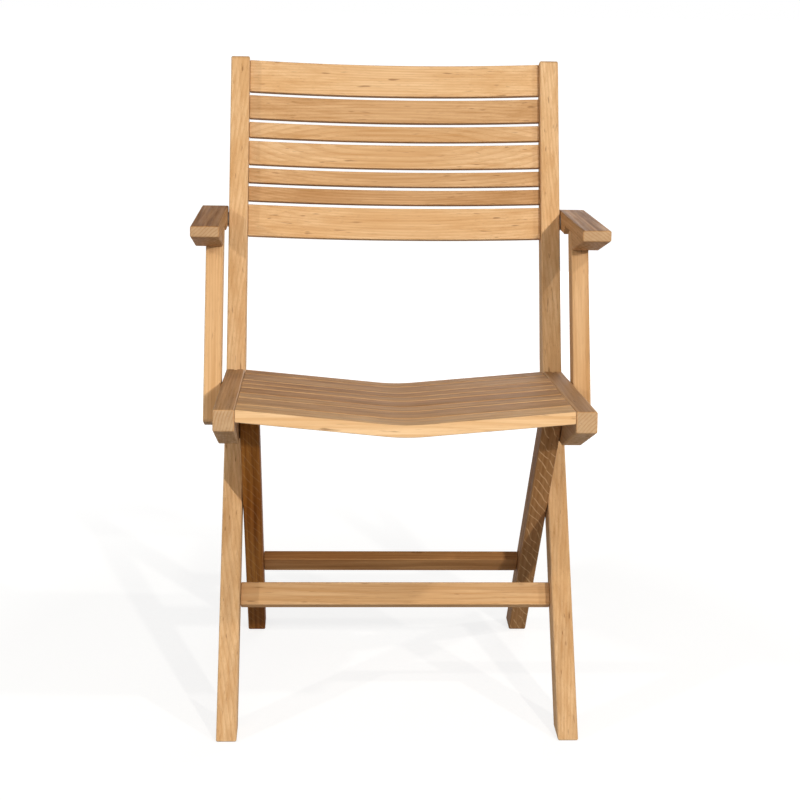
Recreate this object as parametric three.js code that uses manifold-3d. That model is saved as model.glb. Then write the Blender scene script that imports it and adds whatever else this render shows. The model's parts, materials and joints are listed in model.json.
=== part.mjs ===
import * as THREE from "three";
import { mergeVertices, toCreasedNormals } from "three/addons/utils/BufferGeometryUtils.js";
import Module from "manifold-3d";

// A folding garden armchair of solid teak, standing open. Millimetres, +Z up, +X to the right as seen
// from the front, the front towards -Y, the floor at Z = 0 and the origin in the middle of the depth.
// Side views are drawn with two values: how far back a point lies from the front toe, and how high.

// Stiles: each is the front leg and the back post in one piece, bent at the seat.
const BEND_BACK = 325;
const BEND_HEIGHT = 445;
const BACK_LEAN = THREE.MathUtils.degToRad(20.6);
const BACK_LENGTH = 471.5;
const STILE_DEPTH = 45;
const STILE_TOP_DEPTH = 30;
const STILE_THICK = 27.5;
const STILE_BEND_RADIUS = 220;
const INNER_HALF_WIDTH = 218;
const TOP_ROUND = 5;
const FOOT_ROUND = 2;

// Rear legs, which cross inside the stiles.
const REAR_TOE_BACK = 446;
const REAR_LEAN = THREE.MathUtils.degToRad(41.8);
const REAR_LEG_DEPTH = 38;
const REAR_LEG_THICK = 26;
const REAR_LEG_GAP = 1.2;

// Stretchers between the front legs and between the rear legs, let into them.
const STRETCHER_WIDTH = 33;
const STRETCHER_THICK = 15;
const FRONT_STRETCHER_UP = 217.5;
const FRONT_STRETCHER_INSET = 26;
const REAR_STRETCHER_UP = 167.5;
const REAR_STRETCHER_INSET = 18;

// Back slats from the top down, bowed backwards between the stiles.
const BACK_SLAT_WIDTHS = [48.3, 35.5, 23.2, 35.8, 22, 22, 47.5];
const BACK_SLAT_GAP = 5.8;
const BACK_SLAT_DROP = 2.5;
const BACK_SLAT_INSET = 14;
const BACK_SLAT_BOW = 18;
const BACK_SLAT_THICK = 12;
const BACK_SLAT_SAMPLES = 12;

// Seat slats from the front back, dished across the seat and level with the rails at their ends.
const SEAT_SLAT_WIDTHS = [52.5, 55.5, 36, 46, 34, 34, 58.5, 37];
const SEAT_SLAT_GAP = 5.3;
const SEAT_SLAT_THICK = 16.5;
const SEAT_DISH = 17.5;
const SEAT_DISH_ROUND = 50;
const SEAT_DISH_SAMPLES = 5;
const SEAT_DROP_AT_BEND = 1.1;
const SEAT_REAR_SETBACK = 10;
const SEAT_TILT = THREE.MathUtils.degToRad(5.1);

// Seat rails, deep in the middle and thin at both ends.
const RAIL_THICK = 27.5;
const RAIL_FRONT_DEPTH = 28;
const RAIL_BELLY_DEPTH = 69.5;
const RAIL_BELLY_FROM_FRONT = 154;
const RAIL_BELLY_FROM_HINGE = 85;
const RAIL_TAIL_DEPTH = 20;
const RAIL_ROUND = 2.5;
const RAIL_BELLY_ROUND = 14;

// Tenons of slats and stretchers, and the mortises that take them.
const TENON_LENGTH = 9.5;
const SEAT_TENON_THICK = 8;
const BACK_TENON_THICK = 8;
const STRETCHER_TENON_THICK = 9;
const TENON_SHOULDER = 3.5;
const TENON_ROOT = 12;

// Seat hinge: a metal blade let into the stile, pinned in a saw cut in the end of the rail.
const HINGE_DROP = 6;
const HINGE_STANDOFF = 7.9;
const RAIL_END_RADIUS = 6.6;
const HINGE_PIN_RADIUS = 2.2;
const HINGE_PIN_END = 3.5;
const BLADE_THICK = 3;
const BLADE_NOSE_RADIUS = 5;
const BLADE_LET_IN = 24;
const BLADE_SLOT_GAP = 0.4;
const HINGE_TENON_GAP = 6;
const REAR_SLAT_END_GAP = 1.3;

// Rod across the tops of the rear legs, on which the seat rests in two open grooves.
const ROD_RADIUS = 4;
const ROD_DROP = 38.5;
const ROD_LET_IN = 11.6;
const GROOVE_GAP = 0.6;
const LEG_TURN_SHARE = 0.555;
const GROOVE_SEAT_TURN = THREE.MathUtils.degToRad(14);
const GROOVE_STEPS = 8;

// Armrests and the supports under them.
const SIDE_GAP = 1.8;
const ARM_WIDTH = 39.3;
const ARM_PIVOT_UP = 223;
const ARM_PIVOT_INSET = 11;
const ARM_PIVOT_DROP = 18.3;
const ARM_RISE = THREE.MathUtils.degToRad(2.55);
const ARM_FRONT_REACH = 269;
const ARM_REAR_REACH = 26;
const ARM_FRONT_DEPTH = 15;
const ARM_WEDGE_DEPTH = 41;
const ARM_WEDGE_REACH = 149;
const ARM_CHEEK_REACH = 100;
const ARM_REAR_DEPTH = 29;
const ARM_BOARD = 16;
const ARM_NOTCH_REAR_REACH = 44;
const ARM_NOTCH_REAR_LEAN = 20;
const ARM_ROUND = 2.5;
const ARM_CORNER_ROUND = 9;
const SUPPORT_THICK = 24.5;
const SUPPORT_DEPTH = 37;
const SUPPORT_PIN_REACH = 114;
const SUPPORT_PIN_OFFSET = 9;
const SUPPORT_TOP_RADIUS = 16;
const SUPPORT_TOP_GAP = 0.6;
const SUPPORT_FOOT = 35;
const SUPPORT_FOOT_ROUND = 6;
const SUPPORT_NOTCH_GAP = 1.5;
const NOTCH_SIDE_GAP = 0.5;

// Bolts, their washers and the holes round them.
const BOLT_RADIUS = 4;
const BOLT_HEAD_RADIUS = 7;
const BOLT_HEAD_THICK = 4;
const BOLT_HEAD_EASE = 1;
const COUNTERBORE_DEPTH = 5;
const BOLT_END_COVER = 4;
const PIN_HEAD_RADIUS = 6;
const WASHER_RADIUS = 11;
const HOLE_GAP = 0.3;

// Fits and finish.
const JOINT_GAP = 0.3;
const EDGE_EASE = 1.5;
const ARM_EDGE_EASE = 1.5;
const SLAT_EDGE_EASE = 1;
const CUT_OVERRUN = 5;
const ARC_SAG = 0.1;
const ROUND_SEGMENTS = 20;
const CREASE = THREE.MathUtils.degToRad(30);
const WELD = 1e-4;

const wasm = await Module();
wasm.setup();

const point = (back, up) => new THREE.Vector2(back, up);
const heading = (angle) => point(Math.cos(angle), Math.sin(angle));
const step = (from, direction, distance) => from.clone().addScaledVector(direction, distance);

// Where the line through p along u meets the line through q along v.
function meet(p, u, q, v) {
  const distance = q.clone().sub(p).cross(v) / u.cross(v);
  return step(p, u, distance);
}

// Directions in the side view.
const legUp = point(BEND_BACK, BEND_HEIGHT).normalize();
const legRear = point(legUp.y, -legUp.x);
const backUp = point(Math.sin(BACK_LEAN), Math.cos(BACK_LEAN));
const backRear = point(backUp.y, -backUp.x);
const rearLegUp = point(-Math.sin(REAR_LEAN), Math.cos(REAR_LEAN));
const rearLegRear = point(rearLegUp.y, -rearLegUp.x);
const seatForward = point(-Math.cos(SEAT_TILT), Math.sin(SEAT_TILT));
const seatDown = point(-Math.sin(SEAT_TILT), -Math.cos(SEAT_TILT));
const armForward = point(-Math.cos(ARM_RISE), Math.sin(ARM_RISE));
const armDown = point(-Math.sin(ARM_RISE), -Math.cos(ARM_RISE));

// Key points in the side view.
const toe = point(0, 0);
const bend = point(BEND_BACK, BEND_HEIGHT);
const rearToe = point(REAR_TOE_BACK, 0);
const seatRear = point(BEND_BACK, BEND_HEIGHT - SEAT_DROP_AT_BEND);
const hinge = meet(
  step(seatRear, seatDown, HINGE_DROP), seatForward,
  step(toe, legRear, -HINGE_STANDOFF), legUp,
);
const legAxis = step(toe, legRear, STILE_DEPTH / 2);
const rearLegAxis = step(rearToe, rearLegRear, REAR_LEG_DEPTH / 2);
const crossing = meet(legAxis, legUp, rearLegAxis, rearLegUp);
const rod = meet(step(seatRear, seatDown, ROD_DROP), seatForward, rearLegAxis, rearLegUp);
const armPivot = step(step(bend, backUp, ARM_PIVOT_UP), backRear, ARM_PIVOT_INSET);
const fromHinge = (forward, down) =>
  step(step(hinge, seatForward, forward), seatDown, down - HINGE_DROP);
const fromArmPivot = (forward, down) =>
  step(step(armPivot, armForward, forward), armDown, down - ARM_PIVOT_DROP);
const supportTop = fromArmPivot(SUPPORT_PIN_REACH, ARM_BOARD + SUPPORT_TOP_GAP + SUPPORT_TOP_RADIUS);
const fold = armPivot.clone().sub(hinge);
const supportFoot = supportTop.clone().sub(fold);

// The supports lean a little less than the line of their pins, which sit off the middle.
const supportLean = Math.atan2(fold.y, fold.x) + Math.asin((2 * SUPPORT_PIN_OFFSET) / fold.length());
const supportUp = heading(supportLean);
const supportRear = point(supportUp.y, -supportUp.x);

// Places across the width.
const stileOuter = INNER_HALF_WIDTH + STILE_THICK;
const railOuter = INNER_HALF_WIDTH + RAIL_THICK;
const rearLegOuter = INNER_HALF_WIDTH - REAR_LEG_GAP;
const rearLegInner = rearLegOuter - REAR_LEG_THICK;
const sideInner = Math.max(stileOuter, railOuter) + SIDE_GAP;
const supportOuter = sideInner + SUPPORT_THICK;
const armOuter = sideInner + ARM_WIDTH;
const bladeMiddle = INNER_HALF_WIDTH + STILE_THICK / 2;
const hingePinStart = INNER_HALF_WIDTH + HINGE_PIN_END;
const hingePinEnd = railOuter - HINGE_PIN_END;
const rodEnd = INNER_HALF_WIDTH + ROD_LET_IN;
const boltEnd = INNER_HALF_WIDTH + BOLT_END_COVER;
const boltStart = boltEnd - HOLE_GAP;
const legBoltEnd = rearLegInner + BOLT_END_COVER;
const topPinEnd = sideInner + BOLT_END_COVER;

const sum = (values) => values.reduce((total, value) => total + value, 0);
const seatLength = sum(SEAT_SLAT_WIDTHS) + SEAT_SLAT_GAP * (SEAT_SLAT_WIDTHS.length - 1);
const hingeToRear = seatRear.clone().sub(hinge).dot(seatForward);
const seatFront = seatLength + hingeToRear + SEAT_REAR_SETBACK;

// Reach of a support's front and rear faces from the line through its upper pin.
const supportFrontReach = SUPPORT_DEPTH / 2 + SUPPORT_PIN_OFFSET;
const supportRearReach = SUPPORT_DEPTH / 2 - SUPPORT_PIN_OFFSET;

// Steps along an arc, so that its chords stay close to it.
const arcSteps = (turn, radius) => Math.ceil(Math.abs(turn) / (2 * Math.acos(1 - ARC_SAG / radius)));

function arc(centre, radius, from, turn) {
  const steps = arcSteps(turn, radius);
  return Array.from({ length: steps + 1 }, (_, k) => step(centre, heading(from + (turn * k) / steps), radius));
}

// Rounds the corners of a closed outline. Each corner is a point and its radius.
function roundCorners(corners) {
  const points = [];
  corners.forEach(([at, radius], i) => {
    if (!radius) {
      points.push(at);
      return;
    }
    const before = corners.at(i - 1)[0].clone().sub(at).normalize();
    const after = corners[(i + 1) % corners.length][0].clone().sub(at).normalize();
    const half = Math.acos(before.dot(after)) / 2;
    const centre = step(at, before.clone().add(after).normalize(), radius / Math.sin(half));
    const start = step(at, before, radius / Math.tan(half)).sub(centre);
    const end = step(at, after, radius / Math.tan(half)).sub(centre);
    const turn = Math.atan2(start.cross(end), start.dot(end));
    points.push(...arc(centre, radius, start.angle(), turn));
  });
  return points;
}

// A stile from the side, thinner towards the top.
function stileOutline() {
  const top = step(bend, backUp, BACK_LENGTH);
  const topRear = step(top, backRear, STILE_TOP_DEPTH);
  const rearLine = step(toe, legRear, STILE_DEPTH);
  const upperRear = step(bend, backRear, STILE_DEPTH);
  const heel = meet(rearLine, legUp, toe, point(1, 0));
  const rearBend = meet(rearLine, legUp, upperRear, topRear.clone().sub(upperRear));
  return roundCorners([
    [toe, FOOT_ROUND],
    [heel, FOOT_ROUND],
    [rearBend, STILE_BEND_RADIUS + STILE_DEPTH],
    [topRear, TOP_ROUND],
    [top, TOP_ROUND],
    [bend, STILE_BEND_RADIUS],
  ]);
}

// How far a back slat's face lies behind the front faces of the stiles.
const backSlatFace = (x) => BACK_SLAT_INSET + BACK_SLAT_BOW * (1 - (x / INNER_HALF_WIDTH) ** 2);

// The chair's depth runs from the front slat's lower edge to the rear of a stile or the top back slat.
const frontmost = fromHinge(seatFront, SEAT_DISH + SEAT_SLAT_THICK - SLAT_EDGE_EASE).x;
const topSlatEdge = step(bend, backUp, BACK_LENGTH - BACK_SLAT_DROP - SLAT_EDGE_EASE);
const topSlatRear = step(topSlatEdge, backRear, backSlatFace(0) + BACK_SLAT_THICK);
const rearmost = Math.max(topSlatRear.x, ...stileOutline().map((at) => at.x));
const middle = (frontmost + rearmost) / 2;

function circle(centre, radius) {
  const turn = (2 * Math.PI) / ROUND_SEGMENTS;
  return Array.from({ length: ROUND_SEGMENTS }, (_, k) => step(centre, heading(k * turn), radius));
}

// Extrudes an outline, drawn along the axes a and b, from the given origin along a x b.
function extrude(points, length, ease, origin, a, b) {
  const shape = new THREE.Shape(points);
  const geometry = new THREE.ExtrudeGeometry(shape, {
    depth: length - 2 * ease,
    steps: 1,
    bevelEnabled: ease > 0,
    bevelThickness: ease,
    bevelSize: ease,
    bevelOffset: -ease,
    bevelSegments: 1,
  });
  geometry.translate(0, 0, ease);
  const c = new THREE.Vector3().crossVectors(a, b);
  geometry.applyMatrix4(new THREE.Matrix4().makeBasis(a, b, c).setPosition(origin));
  return geometry;
}

const across = new THREE.Vector3(1, 0, 0);
const backwards = new THREE.Vector3(0, 1, 0);
const upwards = new THREE.Vector3(0, 0, 1);

// A place and a direction of the side view, in space.
const place = (x, at) => new THREE.Vector3(x, at.x - middle, at.y);
const inSpace = (direction) => new THREE.Vector3(0, direction.x, direction.y);

// A board seen from the side, on the given side of the chair, between two distances from its middle.
function sideBoard(side, points, near, far, ease = 0) {
  const start = Math.min(side * near, side * far);
  return extrude(points, far - near, ease, new THREE.Vector3(start, -middle, 0), backwards, upwards);
}

function hole(side, centre, radius, near, far) {
  return sideBoard(side, circle(centre, radius + HOLE_GAP), near, far);
}

// A turned piece with its axis across the chair. Its profile holds distances from the middle and radii.
function turned(side, centre, profile) {
  const points = profile.map(([along, radius]) => point(radius, along));
  const geometry = new THREE.LatheGeometry(points, ROUND_SEGMENTS);
  geometry.rotateZ((-side * Math.PI) / 2);
  geometry.translate(0, centre.x - middle, centre.y);
  return geometry;
}

function solid(geometry) {
  const bare = geometry.clone();
  bare.deleteAttribute("normal");
  bare.deleteAttribute("uv");
  const merged = mergeVertices(bare, WELD);
  return new wasm.Manifold(
    new wasm.Mesh({
      numProp: 3,
      vertProperties: merged.attributes.position.array,
      triVerts: new Uint32Array(merged.index.array),
    }),
  );
}

function meshOf(body) {
  const mesh = body.getMesh();
  const result = new THREE.BufferGeometry();
  result.setAttribute("position", new THREE.BufferAttribute(mesh.vertProperties, 3));
  result.setIndex(new THREE.BufferAttribute(mesh.triVerts, 1));
  return result;
}

const cut = (geometry, tools) =>
  meshOf(tools.reduce((body, tool) => body.subtract(solid(tool)), solid(geometry)));

const join = (geometry, pieces) =>
  meshOf(pieces.reduce((body, piece) => body.add(solid(piece)), solid(geometry)));

// A rectangle of the side view, from one corner along two directions.
function rectangle(corner, along, length, over, depth) {
  const end = step(corner, along, length);
  return [corner, end, step(end, over, depth), step(corner, over, depth)];
}

// A tenon across a board's width, seen from the side, and the same grown into its mortise.
function tenonOutline(foot, along, width, over, inset, thick, gap) {
  const corner = step(step(foot, along, TENON_SHOULDER - gap), over, inset - gap);
  return rectangle(corner, along, width - 2 * (TENON_SHOULDER - gap), over, thick + 2 * gap);
}

const root = new THREE.Group();

function add(name, geometry, material) {
  const mesh = new THREE.Mesh(toCreasedNormals(geometry, CREASE), material);
  mesh.name = name;
  root.add(mesh);
}

const finish = (color, roughness, metalness) =>
  new THREE.MeshStandardMaterial({ color: new THREE.Color(...color), roughness, metalness });
const postTeak = finish([0.71, 0.46, 0.24], 0.62, 0);
const slatTeak = finish([0.66, 0.41, 0.2], 0.64, 0);
const seatTeak = finish([0.58, 0.36, 0.19], 0.66, 0);
const armTeak = finish([0.69, 0.44, 0.23], 0.62, 0);
const brass = finish([0.6, 0.42, 0.16], 0.35, 1);
const steel = finish([0.55, 0.55, 0.53], 0.3, 1);

const sides = [["left", -1], ["right", 1]];

// The two faces of a slat across the chair, from one shoulder to the other.
const shoulder = INNER_HALF_WIDTH - JOINT_GAP;

function slatOutline(places, offset, thick) {
  const near = places.map((x) => point(x, offset(x)));
  const far = places.map((x) => point(x, offset(x) + thick));
  return [...near, ...far.reverse()];
}

const tenons = (outline, end) =>
  sides.map(([, side]) => sideBoard(side, outline, end - TENON_ROOT, end + TENON_LENGTH));

// The slats of the back: how far up the posts each one starts, and the tenon it has there.
function backSlatFeet() {
  let top = BACK_LENGTH - BACK_SLAT_DROP;
  return BACK_SLAT_WIDTHS.map((width) => {
    const foot = top - width;
    top = foot - BACK_SLAT_GAP;
    return foot;
  });
}

const backTenonInset = BACK_SLAT_INSET + (BACK_SLAT_THICK - BACK_TENON_THICK) / 2;

const backTenonOutlines = (gap) =>
  backSlatFeet().map((foot, i) => {
    const at = step(bend, backUp, foot);
    return tenonOutline(at, backUp, BACK_SLAT_WIDTHS[i], backRear, backTenonInset, BACK_TENON_THICK, gap);
  });

function backSlats() {
  const places = Array.from({ length: BACK_SLAT_SAMPLES + 1 }, (_, k) =>
    shoulder * ((2 * k) / BACK_SLAT_SAMPLES - 1));
  const points = slatOutline(places, backSlatFace, BACK_SLAT_THICK);
  const tenonAt = backTenonOutlines(0);
  backSlatFeet().forEach((foot, i) => {
    const origin = place(0, step(bend, backUp, foot));
    const board = extrude(points, BACK_SLAT_WIDTHS[i], SLAT_EDGE_EASE, origin, across, inSpace(backRear));
    add(`back_slat_${i + 1}`, join(board, tenons(tenonAt[i], INNER_HALF_WIDTH)), slatTeak);
  });
}

// The outline of a hinge blade: a round nose on the pin and a square tail in the stile.
function bladeOutline(grow) {
  const radius = BLADE_NOSE_RADIUS + grow;
  const nose = step(hinge, legRear, -radius);
  const tail = step(hinge, legRear, HINGE_STANDOFF + BLADE_LET_IN + grow);
  return roundCorners([
    [step(nose, legUp, -radius), radius],
    [step(tail, legUp, -radius), 0],
    [step(tail, legUp, radius), 0],
    [step(nose, legUp, radius), radius],
  ]);
}

// Mortises in the inner face of a piece whose face lies at the given distance from the middle.
function mortises(side, outlines, face) {
  const bottom = face + TENON_LENGTH + JOINT_GAP;
  return outlines.map((outline) => sideBoard(side, outline, face - CUT_OVERRUN, bottom));
}

function stile(name, side) {
  const bladeGap = BLADE_THICK / 2 + JOINT_GAP;
  const cuts = [
    ...mortises(side, [...backTenonOutlines(JOINT_GAP), frontTenonOutline(JOINT_GAP)], INNER_HALF_WIDTH),
    sideBoard(side, bladeOutline(JOINT_GAP), bladeMiddle - bladeGap, bladeMiddle + bladeGap),
    hole(side, armPivot, BOLT_RADIUS, boltStart, stileOuter + CUT_OVERRUN),
    hole(side, crossing, BOLT_RADIUS, INNER_HALF_WIDTH - CUT_OVERRUN, stileOuter + CUT_OVERRUN),
    hole(side, crossing, BOLT_HEAD_RADIUS, stileOuter - COUNTERBORE_DEPTH, stileOuter + CUT_OVERRUN),
  ];
  const body = sideBoard(side, stileOutline(), INNER_HALF_WIDTH, stileOuter, EDGE_EASE);
  add(name, cut(body, cuts), postTeak);
}

// A stretcher's lower edge up its leg, and its tenon seen from the side.
const stretcherFoot = (foot, up, along) => step(foot, up, along - STRETCHER_WIDTH / 2);

function stretcherTenon(foot, up, rear, along, inset, gap) {
  const tenonInset = inset + (STRETCHER_THICK - STRETCHER_TENON_THICK) / 2;
  const at = stretcherFoot(foot, up, along);
  return tenonOutline(at, up, STRETCHER_WIDTH, rear, tenonInset, STRETCHER_TENON_THICK, gap);
}

const frontTenonOutline = (gap) =>
  stretcherTenon(toe, legUp, legRear, FRONT_STRETCHER_UP, FRONT_STRETCHER_INSET, gap);
const rearTenonOutline = (gap) =>
  stretcherTenon(rearToe, rearLegUp, rearLegRear, REAR_STRETCHER_UP, REAR_STRETCHER_INSET, gap);

function stretcher(name, at, rear, inset, halfLength, tenonAt) {
  const end = halfLength - JOINT_GAP;
  const points = slatOutline([-end, end], () => inset, STRETCHER_THICK);
  const board = extrude(points, STRETCHER_WIDTH, SLAT_EDGE_EASE, place(0, at), across, inSpace(rear));
  add(name, join(board, tenons(tenonAt, halfLength)), postTeak);
}

function rearLeg(name, side) {
  const end = step(rod, rearLegUp, REAR_LEG_DEPTH / 2);
  const heel = meet(step(rearToe, rearLegRear, REAR_LEG_DEPTH), rearLegUp, toe, point(1, 0));
  const outline = roundCorners([
    [rearToe, FOOT_ROUND],
    [heel, FOOT_ROUND],
    [step(end, rearLegRear, REAR_LEG_DEPTH / 2), REAR_LEG_DEPTH / 2],
    [step(end, rearLegRear, -REAR_LEG_DEPTH / 2), REAR_LEG_DEPTH / 2],
  ]);
  const cuts = [
    ...mortises(side, [rearTenonOutline(JOINT_GAP)], rearLegInner),
    hole(side, crossing, BOLT_RADIUS, legBoltEnd - HOLE_GAP, rearLegOuter + CUT_OVERRUN),
    hole(side, rod, ROD_RADIUS, rearLegInner - CUT_OVERRUN, rearLegOuter + CUT_OVERRUN),
  ];
  const body = sideBoard(side, outline, rearLegInner, rearLegOuter, EDGE_EASE);
  add(name, cut(body, cuts), postTeak);
}

// The rod's way through the rail as the seat lifts, seen from the rail.
function rodPath() {
  return Array.from({ length: GROOVE_STEPS + 1 }, (_, k) => {
    const turn = (GROOVE_SEAT_TURN * k) / GROOVE_STEPS;
    return rod.clone().rotateAround(crossing, -turn * LEG_TURN_SHARE).rotateAround(hinge, turn);
  });
}

function grooveOutline() {
  const path = rodPath();
  const reach = ROD_RADIUS + GROOVE_GAP;
  const side = (sign) =>
    path.slice(1).map((at, k) => {
      const along = at.clone().sub(path[k]).normalize();
      return step(at, point(-along.y, along.x), sign * reach);
    });
  const first = path[1].clone().sub(path[0]).angle();
  const cap = arc(path[0], reach, first + Math.PI / 2, Math.PI);
  return [...cap, ...side(-1), ...side(1).reverse()];
}

// Places of the seat slats: how far each slat's rear edge lies ahead of the hinge.
function seatSlatRears() {
  let front = seatFront;
  return SEAT_SLAT_WIDTHS.map((width) => {
    const rear = front - width;
    front = rear - SEAT_SLAT_GAP;
    return rear;
  });
}

const seatTenonDrop = (SEAT_SLAT_THICK - SEAT_TENON_THICK) / 2;

const seatTenonOutlines = (gap) =>
  seatSlatRears().map((rear, i) => {
    const start = Math.max(rear, HINGE_TENON_GAP - TENON_SHOULDER);
    const width = rear + SEAT_SLAT_WIDTHS[i] - start;
    const at = fromHinge(start, 0);
    return tenonOutline(at, seatForward, width, seatDown, seatTenonDrop, SEAT_TENON_THICK, gap);
  });

// The round end of a rail about its hinge pin, from the end face up to the rail's top.
function railNose() {
  const from = legRear.angle();
  const rise = Math.acos(HINGE_DROP / RAIL_END_RADIUS);
  const to = seatDown.clone().negate().angle() - rise;
  return arc(hinge, RAIL_END_RADIUS, from, to - from + 2 * Math.PI).map((at) => [at, 0]);
}

function seatRail(name, side) {
  const endLine = step(hinge, legRear, RAIL_END_RADIUS);
  const tail = meet(fromHinge(0, RAIL_TAIL_DEPTH), seatForward, endLine, legUp);
  const outline = roundCorners([
    [fromHinge(seatFront, 0), RAIL_ROUND],
    [fromHinge(seatFront, RAIL_FRONT_DEPTH), RAIL_ROUND],
    [fromHinge(seatFront - RAIL_BELLY_FROM_FRONT, RAIL_BELLY_DEPTH), RAIL_BELLY_ROUND],
    [fromHinge(RAIL_BELLY_FROM_HINGE, RAIL_BELLY_DEPTH), RAIL_BELLY_ROUND],
    [tail, RAIL_ROUND],
    ...railNose(),
  ]);
  const kerf = BLADE_THICK / 2 + BLADE_SLOT_GAP;
  const kerfReach = BLADE_NOSE_RADIUS + BLADE_SLOT_GAP;
  const kerfStart = fromHinge(kerfReach, -CUT_OVERRUN);
  const kerfLength = kerfReach + RAIL_END_RADIUS + CUT_OVERRUN;
  const kerfDepth = RAIL_TAIL_DEPTH + BLADE_NOSE_RADIUS + CUT_OVERRUN;
  const kerfOutline = rectangle(kerfStart, seatForward, -kerfLength, seatDown, kerfDepth);
  const cuts = [
    ...mortises(side, seatTenonOutlines(JOINT_GAP), INNER_HALF_WIDTH),
    sideBoard(side, kerfOutline, bladeMiddle - kerf, bladeMiddle + kerf),
    sideBoard(side, grooveOutline(), INNER_HALF_WIDTH - CUT_OVERRUN, rodEnd + GROOVE_GAP),
    hole(side, hinge, HINGE_PIN_RADIUS, INNER_HALF_WIDTH - CUT_OVERRUN, hingePinEnd + HOLE_GAP),
    hole(side, supportFoot, BOLT_RADIUS, boltStart, railOuter + CUT_OVERRUN),
  ];
  const body = sideBoard(side, outline, INNER_HALF_WIDTH, railOuter, EDGE_EASE);
  add(name, cut(body, cuts), postTeak);
}

// How far the seat dips below the rails, straight from both sides to a rounded middle.
function seatDip(x) {
  const slope = SEAT_DISH / (INNER_HALF_WIDTH - SEAT_DISH_ROUND / 2);
  const from = Math.abs(x);
  if (from > SEAT_DISH_ROUND) return slope * (INNER_HALF_WIDTH - from);
  return SEAT_DISH - (slope * from * from) / (2 * SEAT_DISH_ROUND);
}

function seatSlats() {
  const seatUp = seatDown.clone().negate();
  const bowed = Array.from({ length: SEAT_DISH_SAMPLES + 1 }, (_, k) =>
    SEAT_DISH_ROUND * ((2 * k) / SEAT_DISH_SAMPLES - 1));
  const places = [-shoulder, ...bowed, shoulder];
  const points = slatOutline(places, (x) => -seatDip(x) - SEAT_SLAT_THICK, SEAT_SLAT_THICK);
  const rears = seatSlatRears();
  const tenonAt = seatTenonOutlines(0);
  rears.forEach((rear, i) => {
    const origin = place(0, fromHinge(rear, 0));
    const board = extrude(points, SEAT_SLAT_WIDTHS[i], SLAT_EDGE_EASE, origin, across, inSpace(seatUp));
    const last = i === rears.length - 1;
    const body = last ? cut(board, rearSlatEnds(rear)) : board;
    add(`seat_slat_${i + 1}`, join(body, tenons(tenonAt[i], INNER_HALF_WIDTH)), seatTeak);
  });
}

// The rear slat runs past the rails between the posts, so its ends are cut back there.
function rearSlatEnds(rear) {
  const near = INNER_HALF_WIDTH - REAR_SLAT_END_GAP;
  const length = HINGE_TENON_GAP - JOINT_GAP - rear + CUT_OVERRUN;
  const corner = fromHinge(HINGE_TENON_GAP - JOINT_GAP, -CUT_OVERRUN);
  const outline = rectangle(corner, seatForward, -length, seatDown, SEAT_SLAT_THICK + 2 * CUT_OVERRUN);
  return sides.map(([, side]) => sideBoard(side, outline, near, INNER_HALF_WIDTH + CUT_OVERRUN));
}

function armBoard(name, side) {
  const outline = roundCorners([
    [fromArmPivot(-ARM_REAR_REACH, 0), ARM_ROUND],
    [fromArmPivot(ARM_FRONT_REACH, 0), ARM_ROUND],
    [fromArmPivot(ARM_FRONT_REACH, ARM_FRONT_DEPTH), ARM_ROUND],
    [fromArmPivot(ARM_WEDGE_REACH, ARM_WEDGE_DEPTH), ARM_ROUND],
    [fromArmPivot(ARM_CHEEK_REACH, ARM_WEDGE_DEPTH), ARM_ROUND],
    [fromArmPivot(ARM_NOTCH_REAR_REACH, ARM_REAR_DEPTH), ARM_ROUND],
    [fromArmPivot(-ARM_REAR_REACH, ARM_REAR_DEPTH), ARM_CORNER_ROUND],
  ]);
  const frontLine = step(supportTop, supportRear, -supportFrontReach - SUPPORT_NOTCH_GAP);
  const ceiling = fromArmPivot(0, ARM_BOARD);
  const floor = fromArmPivot(0, ARM_WEDGE_DEPTH + CUT_OVERRUN);
  const notch = [
    meet(frontLine, supportUp, ceiling, armForward),
    meet(frontLine, supportUp, floor, armForward),
    fromArmPivot(ARM_NOTCH_REAR_REACH - ARM_NOTCH_REAR_LEAN, ARM_WEDGE_DEPTH + CUT_OVERRUN),
    fromArmPivot(ARM_NOTCH_REAR_REACH + ARM_NOTCH_REAR_LEAN, ARM_BOARD),
  ];
  const cheek = supportOuter + NOTCH_SIDE_GAP;
  const cuts = [
    sideBoard(side, notch, sideInner - CUT_OVERRUN, cheek),
    hole(side, armPivot, BOLT_RADIUS, sideInner - CUT_OVERRUN, armOuter + CUT_OVERRUN),
    hole(side, armPivot, BOLT_HEAD_RADIUS, armOuter - COUNTERBORE_DEPTH, armOuter + CUT_OVERRUN),
    hole(side, supportTop, BOLT_RADIUS, cheek - CUT_OVERRUN, armOuter + CUT_OVERRUN),
    hole(side, supportTop, PIN_HEAD_RADIUS, armOuter - COUNTERBORE_DEPTH, armOuter + CUT_OVERRUN),
  ];
  const body = sideBoard(side, outline, sideInner, armOuter, ARM_EDGE_EASE);
  add(name, cut(body, cuts), armTeak);
}

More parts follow.
